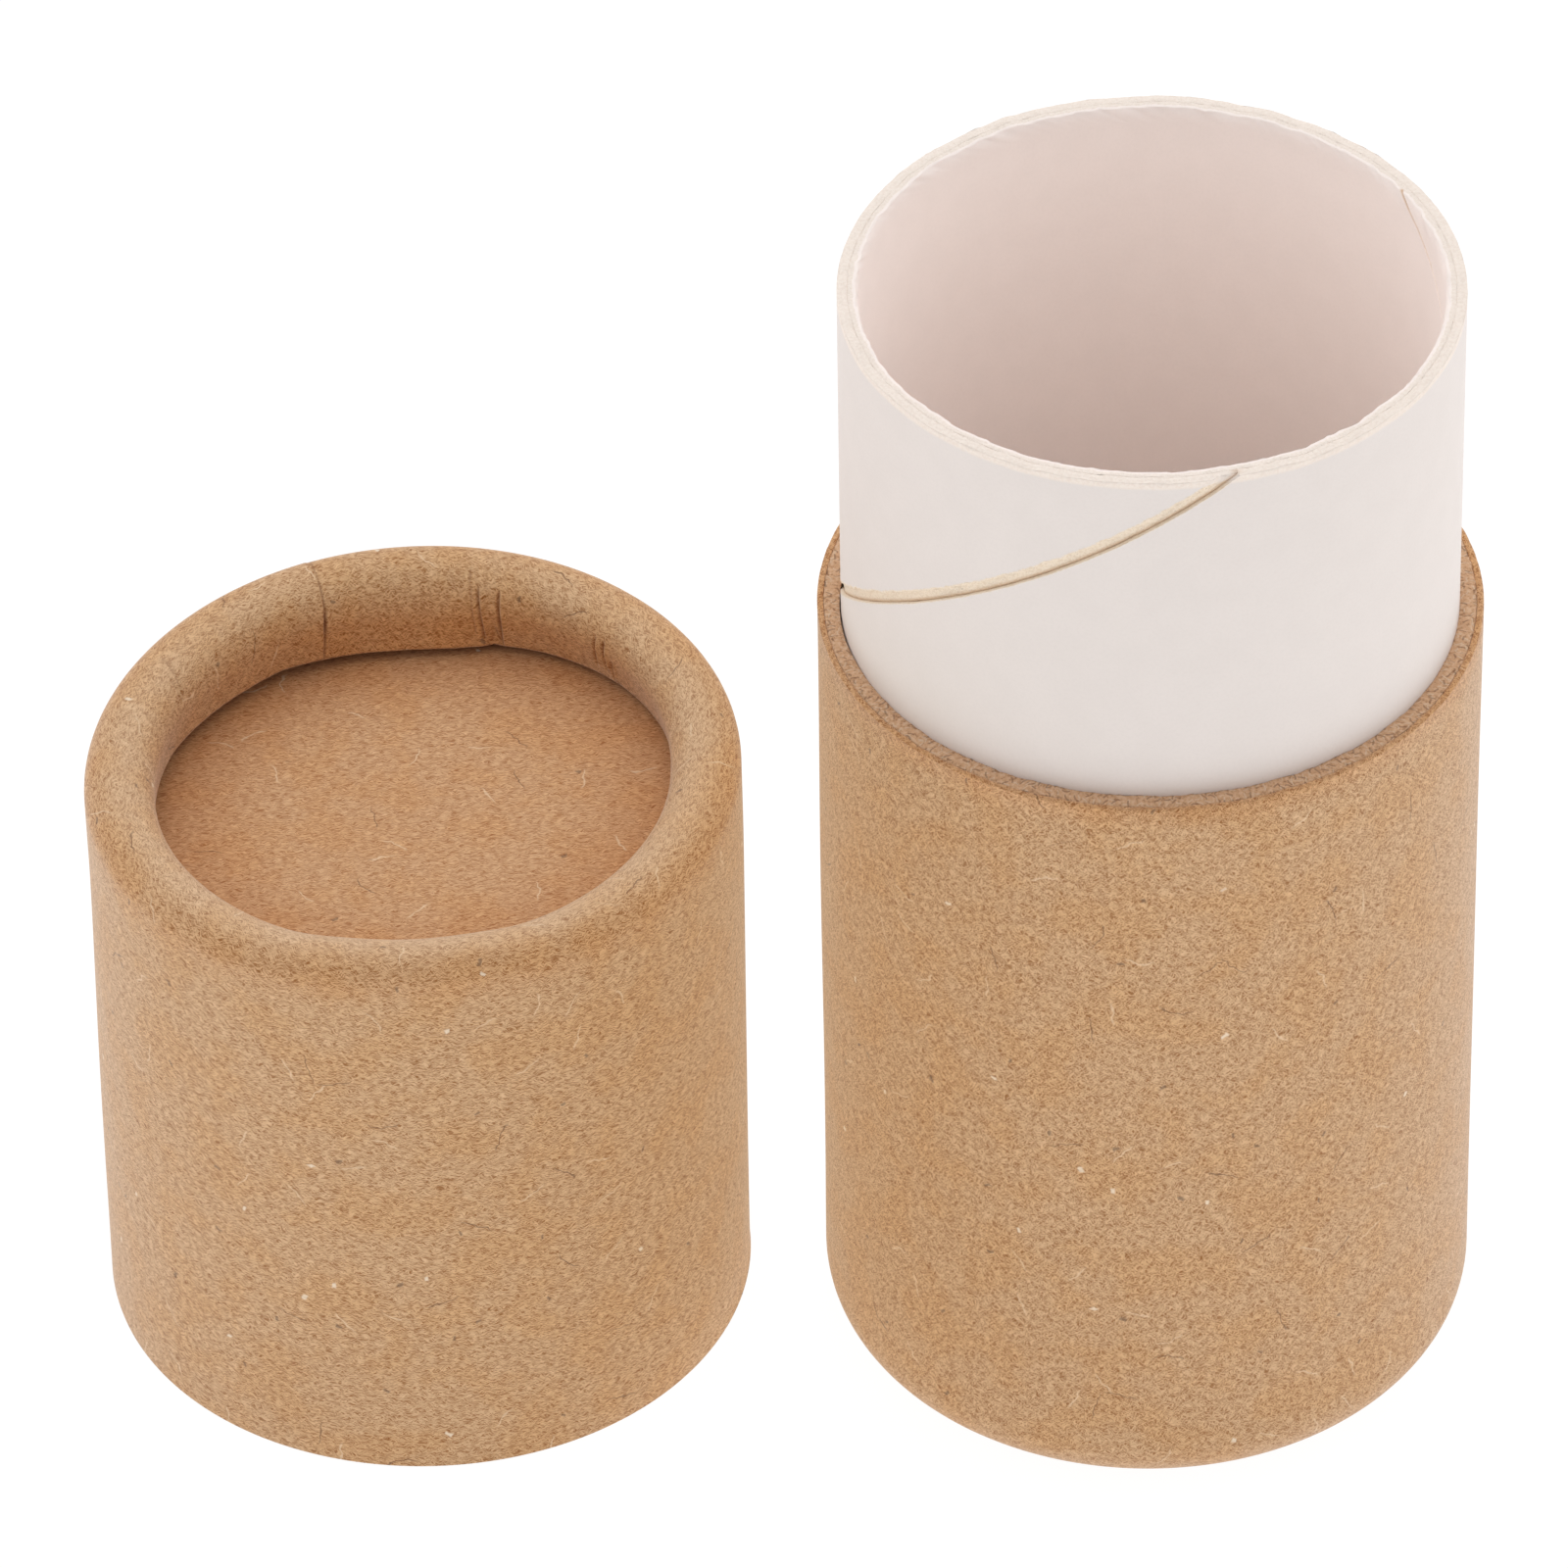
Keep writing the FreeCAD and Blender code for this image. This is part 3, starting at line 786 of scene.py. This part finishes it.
# Each of the creases: its first angle in degrees and distance along the paper, its last ones, width, strength
# of its painted shade, depth.
CREASES = (
    (109.3, 9.6, 110.1, 5.3, 0.07, 0.5, 0.04),
    (110.1, 5.5, 110.5, 3.2, 0.08, 0.65, 0.1),
    (110.5, 3.4, 111.0, 1.8, 0.11, 0.85, 0.2),
    (110.9, 2.0, 111.5, 0.0, 0.08, 0.6, 0.1),
    (78.5, 5.5, 78.0, 4.3, 0.07, 0.45, 0.08),
    (78.0, 4.4, 76.2, 0.8, 0.08, 0.2, 0.08),
    (76.2, 4.1, 74.3, 0.4, 0.11, 0.4, 0.2),
    (71.4, 4.0, 70.4, 0.0, 0.12, 0.45, 0.24),
    (72.2, 1.4, 70.8, 0.2, 0.11, 0.3, 0.16),
    (46.2, 3.2, 46.4, 0.8, 0.12, 0.35, 0.2),
    (43.6, 3.2, 43.5, 0.9, 0.15, 0.5, 0.28),
    (41.3, 1.9, 41.6, 0.3, 0.12, 0.3, 0.18),
    (148.2, 6.4, 152.7, 3.4, 0.09, 0.25, 0.1),
    (151.6, 5.2, 153.8, 3.2, 0.09, 0.2, 0.1),
)
CREASE_BANDS = ((107.5, 113), (69, 80), (40, 48), (146.5, 155))
CURL_RADIUS = TUBE_RADIUS - 4


def lip_reach(angle):
    """How far the curl's end stands from its true circle, drawn straight between the angles in the table."""
    return np.interp(apart(angle, 0.0), np.radians(LIP_ANGLES), LIP_REACHES)


def creased(angle, along):
    """The creases in the curl: how much painted shade darkens each place, and how deep it is.

    Each of the creases runs straight from an angle at a distance along the paper to another, fades in and out
    over its ends, and is a bell curve across its width, with a low ridge beside it that is a second bell
    curve.
    """
    dark = 0 * angle * along
    hollow = dark
    for start, start_along, end, end_along, width, strength, depth in CREASES:
        middle = np.radians(start + (end - start) * ramp(along, start_along, end_along))
        aside = apart(angle, middle) * CURL_RADIUS
        ends = ramp(np.minimum(start_along + 0.2 - along, along - end_along + 0.2), 0, 0.5)
        line = bell(aside, width) * ends
        ridge = bell(aside + 2.2 * width, 1.3 * width) * ends
        dark = np.maximum(dark, strength * line)
        hollow = hollow + depth * (line - 0.5 * ridge)
    return dark, hollow


def lid_shape(angle, across, up):
    """Moves a lid ply's points as the real lid's are: the top out of level, and the end of the curl uneven.

    The rise at a place is its distance from the axis times the slope of the rim, and a flat-topped bell curve
    at the front, in the share of its height. Down the tail this changes over to the disc's slope, and the
    radius changes by the reach of the curl's end.
    """
    inside = across < TUBE_RADIUS - LID_CURL["shoulder"] - LAND
    tail = np.where(inside, ramp(up, TAIL_BEND, LID_CURL["depth"]), 0)
    across_grid = across + tail * lip_reach(angle)[:, None] + (1 - inside) * LID_SWELL
    x = across_grid * np.cos(angle)[:, None]
    y = across_grid * np.sin(angle)[:, None]
    at_front = np.exp(-(apart(angle, FRONT)[:, None] / FRONT_WIDTH) ** 4)
    rim_rise = (RIM_SLOPE[0] * x + RIM_SLOPE[1] * y + FRONT_RISE * at_front) * (1 - up / LID_HEIGHT)
    disc_rise = DISC_SLOPE[0] * x + DISC_SLOPE[1] * y
    return across_grid, up - (1 - tail) * rim_rise - tail * disc_rise


kraft_lid = kraft("kraft_lid_paper", 0.1, 1.6, PAPER, PAPER_DEEP, PAPER_PALE, 0.68)

angle = angles_round(LID_LAP, 560, CREASE_BANDS)
near = ply_path(0.0, LID_CURL, (12, 20, 2, 12, 28))
far = ply_path(FACING, LID_CURL, (2, 8, 1, 6, 6))
across, up, cut = ply_section(near, far, 4, 6)
along = running_length(across, up)
faced = (np.arange(len(across)) < len(near[0])) * 1.0
on_curl = faced * (across < TUBE_RADIUS - LID_CURL["shoulder"] - LAND)
across_grid, up_grid = lid_shape(angle, across, up)
swell = lap_swell(angle, LID_LAP) * (1 - 2 * on_curl) + wall_swell(angle, up, LID_CURL, 81) * (1 - on_curl)
dark, hollow = creased(angle[:, None], along[:-1])
across_grid = across_grid + faced * swell + on_curl * hollow
# Painted shade makes the paper warmer and darker under the crest and in the curl, most at the back. On the
# rest of the crest a painted highlight makes it paler.
at_back = bell(apart(angle, CURL_BACK), CURL_BACK_WIDTH)[:, None]
under_crest = 0.4 * bell(along[:-1] - 8.6, 1.6)
warm = on_curl * ramp(up, 0.5, 3.0) * (0.15 + 0.85 * at_back) + faced * under_crest
rubbed = 0.13 * faced * bell(along[:-1] - 5.6, 1.4) * (1 - at_back)
lid_wrap = tube_piece("lid_wrap_paper", LID_AXIS, angle, across_grid, up_grid, along, LID_HEIGHT,
                      crease=faced * dark, warm=warm, rubbed=rubbed)
dress(lid_wrap, kraft_lid, "lid", "kraft_facing", "lid_wrap")

# The lid's board tube is the same spiral-wound board. Its bare inner face slides over the neck, and it is
# rolled in at the top with the paper.

angle = angles_round(LID_LAP, 560)
near = ply_path(FACING + GLUE, LID_CURL, (4, 8, 1, 6, 6))
far = ply_path(WALL, LID_CURL, (4, 8, 2, 8, 24))
across, up, cut = ply_section(near, far, 4, 8)
along = running_length(across, up)
across_grid, up_grid = lid_shape(angle, across, up)
fray = ramp(up, LID_HEIGHT - SAWN_REACH, LID_HEIGHT)
up_grid = up_grid - fray * SAWN_FRAY * (1 + ragged(angle, 20, 250, 91)[:, None])
lid_core = tube_piece("lid_board_tube", LID_AXIS, angle, across_grid, up_grid, along, LID_HEIGHT, cut=cut)
dress(lid_core, board, "lid", "kraft_board", "lid_core")

# The lid's disc is die-cut kraft-faced board, pushed up inside the tube against the end of the curl. Only its
# round middle shows, sunk below the rim.

DISC_DROP = 0.5
DROP_SLOPE = (0.02, -0.014)


def lies_sunk(x, y):
    """The lie of the lid's disc: the slope of the curl's end, and below it, more at the left and the back."""
    return DISC_SLOPE[0] * x + DISC_SLOPE[1] * y - DISC_DROP + DROP_SLOPE[0] * x + DROP_SLOPE[1] * y


lid_disc = disc_piece("lid_top_disc", LID_AXIS, LID_HEIGHT - LID_CURL["depth"] - DISC_THICKNESS, lies_sunk)
dress(lid_disc, kraft_board, "lid", "kraft_disc", "lid_disc")

# The stage is a white table inside a white tent, lit through its cloth from several sides. The table shows
# white to the camera and keeps a soft shadow. A glowing card stands between the tubes, and a lamp lights the
# neck from its mouth. The camera sees neither of these two.

WHITE = (1, 1, 1, 1)
TABLE_SHOWN = 0.85
TABLE_GLOW = 0.72
TABLE_PAINT = (0.62, 0.62, 0.62, 1)
TABLE_REACH = 3000.0
TABLE_DROP = 0.02
EVEN = 0.425
# Each lobe of light: azimuth from the camera's side and elevation in degrees, sharpness and strength.
LOBES = ((0, 50, 3, 0.08), (90, 15, 5, 0.56), (180, 58, 5, 1.5), (270, 15, 5, 0.52))
CARD_GLOW = 0.9
CARD_TINT = (0.97, 0.86, 0.7, 1)
CARD_FRONT = -28.0
CARD_BACK = 32.0
LAMP_WATTS = 0.0013
LAMP_ACROSS = 36.0
LAMP_ABOVE = 0.6


def stage_sheet(name, corners):
    """A flat four-cornered sheet that isn't part of the box, and an Ink for its empty material."""
    mesh = bpy.data.meshes.new(name)
    mesh.from_pydata([tuple(part * MM for part in corner) for corner in corners], [], [(0, 1, 2, 3)])
    piece = bpy.data.objects.new(name, mesh)
    bpy.context.scene.collection.objects.link(piece)
    material = bpy.data.materials.new(name + "_white")
    material.use_nodes = True
    material.node_tree.nodes.clear()
    mesh.materials.append(material)
    return piece, Ink(material.node_tree)


def show_surface(ink, surface):
    """Links a shader to the output of its material."""
    sink = ink.tree.nodes.new("ShaderNodeOutputMaterial")
    ink.tree.links.new(surface.socket, sink.inputs["Surface"])


sides = ((-1, -1), (1, -1), (1, 1), (-1, 1))
table_corners = [(x * TABLE_REACH, y * TABLE_REACH, -TABLE_DROP) for x, y in sides]
table, ink = stage_sheet("table", table_corners)
seen = ink.node("ShaderNodeLightPath", output="Is Camera Ray")
straight = seen + seen.other("Is Glossy Ray") + seen.other("Is Transmission Ray")
white = ink.node("ShaderNodeEmission", {}, {"Color": WHITE, "Strength": 1.0})
glow = ink.node("ShaderNodeEmission", {}, {"Color": WHITE, "Strength": TABLE_GLOW})
matt = ink.node("ShaderNodeBsdfDiffuse", {}, {"Color": TABLE_PAINT})
cloth = ink.node("ShaderNodeAddShader", {}, {0: matt, 1: glow})
show_surface(ink, ink.node("ShaderNodeMixShader", {}, {0: straight * TABLE_SHOWN, 1: cloth, 2: white}))

card_x = LID_AXIS[0] / 2
card_corners = [(card_x, CARD_FRONT, 0), (card_x, CARD_BACK, 0), (card_x, CARD_BACK, BASE_HEIGHT),
                (card_x, CARD_FRONT, BASE_HEIGHT)]
card, ink = stage_sheet("card", card_corners)
card.visible_camera = False
show_surface(ink, ink.node("ShaderNodeEmission", {}, {"Color": CARD_TINT, "Strength": CARD_GLOW}))

lamp = bpy.data.lights.new("neck_lamp", "AREA")
lamp.shape = "DISK"
lamp.size = LAMP_ACROSS * MM
lamp.energy = LAMP_WATTS
neck_lamp = bpy.data.objects.new("neck_lamp", lamp)
neck_lamp.visible_camera = False
neck_lamp.visible_glossy = False
neck_lamp.location = (0, 0, (NECK_RIM + LAMP_ABOVE) * MM)
bpy.context.scene.collection.objects.link(neck_lamp)

tent = bpy.data.worlds.new("tent")
tent.use_nodes = True
bpy.context.scene.world = tent
cloth = tent.node_tree.nodes["Background"]
ink = Ink(tent.node_tree)
towards = ink.node("ShaderNodeTexCoord", output="Generated")
light = EVEN
for azimuth, elevation, sharpness, strength in LOBES:
    turn_to = math.radians(azimuth)
    lift = math.radians(elevation)
    middle = (math.sin(turn_to) * math.cos(lift), -math.cos(turn_to) * math.cos(lift), math.sin(lift))
    near_it = ink.node("ShaderNodeVectorMath", {"operation": "DOT_PRODUCT"}, {0: towards, 1: middle}, "Value")
    lobe = ink.sum_of("EXPONENT", (near_it - 1.0) * sharpness)
    light = lobe * strength + light
tent.node_tree.links.new(light.socket, cloth.inputs["Strength"])
cloth.inputs["Color"].default_value = WHITE

# The camera looks down at both tubes from the front, as the photograph does, through a long lens.

PITCH = math.radians(40.031)
ROLL = math.radians(-0.976)
AIM = np.array([-24.93, 0.0, 45.99])
DISTANCE = 912.4
SENSOR = 36
LENS = 306.7
camera = bpy.data.objects.new("camera", bpy.data.cameras.new("camera"))
bpy.context.scene.collection.objects.link(camera)
camera.data.sensor_width = SENSOR
camera.data.lens = LENS
camera.data.clip_start = 10 * MM
camera.location = (AIM - DISTANCE * np.array([0, math.cos(PITCH), -math.sin(PITCH)])) * MM
camera.rotation_mode = "XYZ"
camera.rotation_euler = (math.pi / 2 - PITCH, 0, 0)
camera.rotation_euler.rotate_axis("Z", ROLL)
bpy.context.scene.camera = camera
bpy.context.scene.view_settings.view_transform = "Standard"
